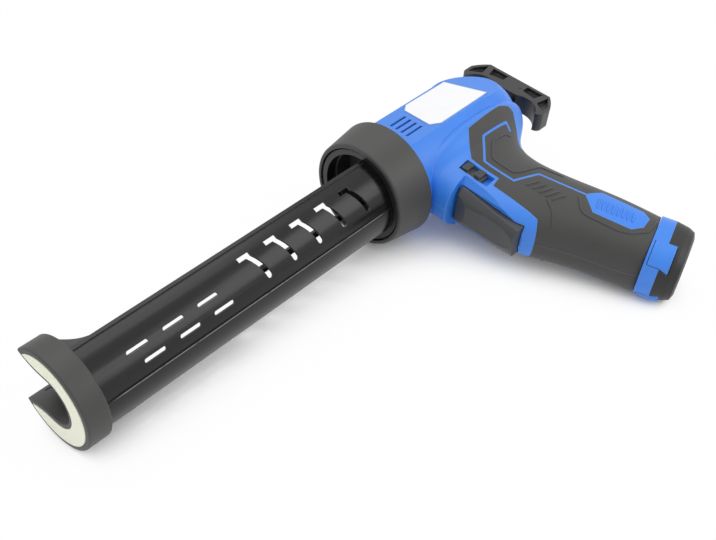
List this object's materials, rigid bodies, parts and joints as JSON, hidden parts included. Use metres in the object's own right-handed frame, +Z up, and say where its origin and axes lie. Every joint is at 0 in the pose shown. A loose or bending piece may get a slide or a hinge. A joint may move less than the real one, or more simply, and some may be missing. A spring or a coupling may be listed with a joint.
{
  "type": "cordless_caulking_gun",
  "caption": "Cordless caulking gun with a slotted half-round cartridge trough, rack push rod, pull handle, trigger grip and slide-in battery",
  "frame": {"origin": "Centre of the bounding box at its lowest face, with the tool lying on its right side.", "axes": "+X runs rearwards along the barrel from the front cap to the pull handle, +Y runs from the battery to the top of the tool, +Z is up and is the tool's left side."},
  "size_m": [0.4004, 0.2214, 0.0766],
  "materials": {
    "blue_shell": "satin moulded plastic",
    "grip_rubber": "matt moulded-on rubber",
    "label_white": "blank printed film",
    "dark_plastic": "fine matt grain",
    "trough_paint": "gloss black enamel on sheet steel",
    "ring_steel": "black enamel",
    "pad_cream": "matt cream plastic",
    "rod_steel": "drawn steel",
    "gear_steel": "cut steel",
    "bush_brass": "sintered bearing metal",
    "motor_steel": "plated can",
    "board_green": "lacquered board",
    "switch_black": "moulded switch body",
    "cell_wrap": "shrink wrap",
    "contact_brass": "stamped strip"
  },
  "bodies": {
    "housing": {"housing_left": "blue_shell", "housing_right": "blue_shell", "grip_left": "grip_rubber", "grip_right": "grip_rubber", "label_left": "label_white", "label_right": "label_white", "housing_screw_1": "rod_steel", "housing_screw_2": "rod_steel", "housing_screw_3": "rod_steel", "housing_screw_4": "rod_steel", "barrel_socket": "dark_plastic", "rod_bush_front": "bush_brass", "rod_bush_rear": "bush_brass", "motor_can": "motor_steel", "motor_cap": "dark_plastic", "gear_case": "gear_steel", "gear_plate": "gear_steel", "output_bearing": "bush_brass", "trigger_switch": "switch_black", "control_board": "board_green", "terminal_block": "switch_black"},
    "collar": {"retaining_collar": "dark_plastic"},
    "barrel": {"trough": "trough_paint", "trough_ring": "ring_steel", "front_cap": "dark_plastic", "front_pad": "pad_cream"},
    "rod": {"push_rod": "rod_steel", "plunger": "dark_plastic", "plunger_nut": "rod_steel", "pull_handle": "dark_plastic", "handle_pin": "rod_steel"},
    "output": {"drive_pinion": "gear_steel", "planet_carrier": "gear_steel"},
    "planet_1": {"planet_gear_1": "gear_steel"},
    "planet_2": {"planet_gear_2": "gear_steel"},
    "planet_3": {"planet_gear_3": "gear_steel"},
    "rotor": {"motor_rotor": "motor_steel", "sun_gear": "gear_steel"},
    "trigger_body": {"trigger": "dark_plastic", "trigger_spring": "rod_steel"},
    "slide": {"slide_switch": "dark_plastic"},
    "battery": {"battery_case": "switch_black", "battery_cell_1": "cell_wrap", "battery_cell_2": "cell_wrap", "battery_cell_3": "cell_wrap", "battery_contacts": "contact_brass", "battery_band": "blue_shell", "battery_base": "dark_plastic"},
    "button_left": {"release_button_left": "blue_shell"},
    "button_right": {"release_button_right": "blue_shell"}
  },
  "joints": [
    {"name": "rod_slide", "type": "slide", "parent": "housing", "child": "rod", "axis": [1, 0, 0], "range_m": [0, 0.215]},
    {"name": "barrel_turn", "type": "hinge", "parent": "housing", "child": "barrel", "pos_m": [0.03075, 0.0724, 0.0383], "axis": [1, 0, 0], "continuous": true},
    {"name": "collar_turn", "type": "hinge", "parent": "housing", "child": "collar", "pos_m": [0.04375, 0.0724, 0.0383], "axis": [1, 0, 0], "range_deg": [0, 720]},
    {"name": "output_turn", "type": "hinge", "parent": "housing", "child": "output", "pos_m": [0.11075, 0.0624, 0.0329], "axis": [0, 1, 0], "range_deg": [-10, 3100]},
    {"name": "rotor_turn", "type": "hinge", "parent": "housing", "child": "rotor", "pos_m": [0.11075, 0.0424, 0.0329], "axis": [0, 1, 0], "range_deg": [-10, 12400]},
    {"name": "trigger_pull", "type": "slide", "parent": "housing", "child": "trigger_body", "axis": [1, 0, 0], "range_m": [0, 0.006], "stiffness_N_per_m": 900, "springref_m": -0.004},
    {"name": "slide_switch_move", "type": "slide", "parent": "housing", "child": "slide", "axis": [0, -1, 0], "range_m": [0, 0.0048]},
    {"name": "battery_slide", "type": "slide", "parent": "housing", "child": "battery", "axis": [0.2924, -0.9563, 0], "range_m": [0, 0.085]},
    {"name": "release_left_press", "type": "slide", "parent": "battery", "child": "button_left", "axis": [0, 0, -1], "range_m": [0, 0.002], "stiffness_N_per_m": 800, "springref_m": -0.003},
    {"name": "release_right_press", "type": "slide", "parent": "battery", "child": "button_right", "axis": [0, 0, 1], "range_m": [0, 0.002], "stiffness_N_per_m": 800, "springref_m": -0.003},
    {"name": "planet_1_turn", "type": "hinge", "parent": "output", "child": "planet_1", "pos_m": [0.11075, 0.0524, 0.0389], "axis": [0, 1, 0], "range_deg": [-9300, 10]},
    {"name": "planet_2_turn", "type": "hinge", "parent": "output", "child": "planet_2", "pos_m": [0.11595, 0.0524, 0.0299], "axis": [0, 1, 0], "range_deg": [-9300, 10]},
    {"name": "planet_3_turn", "type": "hinge", "parent": "output", "child": "planet_3", "pos_m": [0.10555, 0.0524, 0.0299], "axis": [0, 1, 0], "range_deg": [-9300, 10]}
  ],
  "couplings": [
    {"joint": "output_turn", "follows": "rod_slide", "rad_per_m": 250},
    {"joint": "rotor_turn", "follows": "rod_slide", "rad_per_m": 1000},
    {"joint": "planet_1_turn", "follows": "rod_slide", "rad_per_m": -750},
    {"joint": "planet_2_turn", "follows": "rod_slide", "rad_per_m": -750},
    {"joint": "planet_3_turn", "follows": "rod_slide", "rad_per_m": -750}
  ]
}
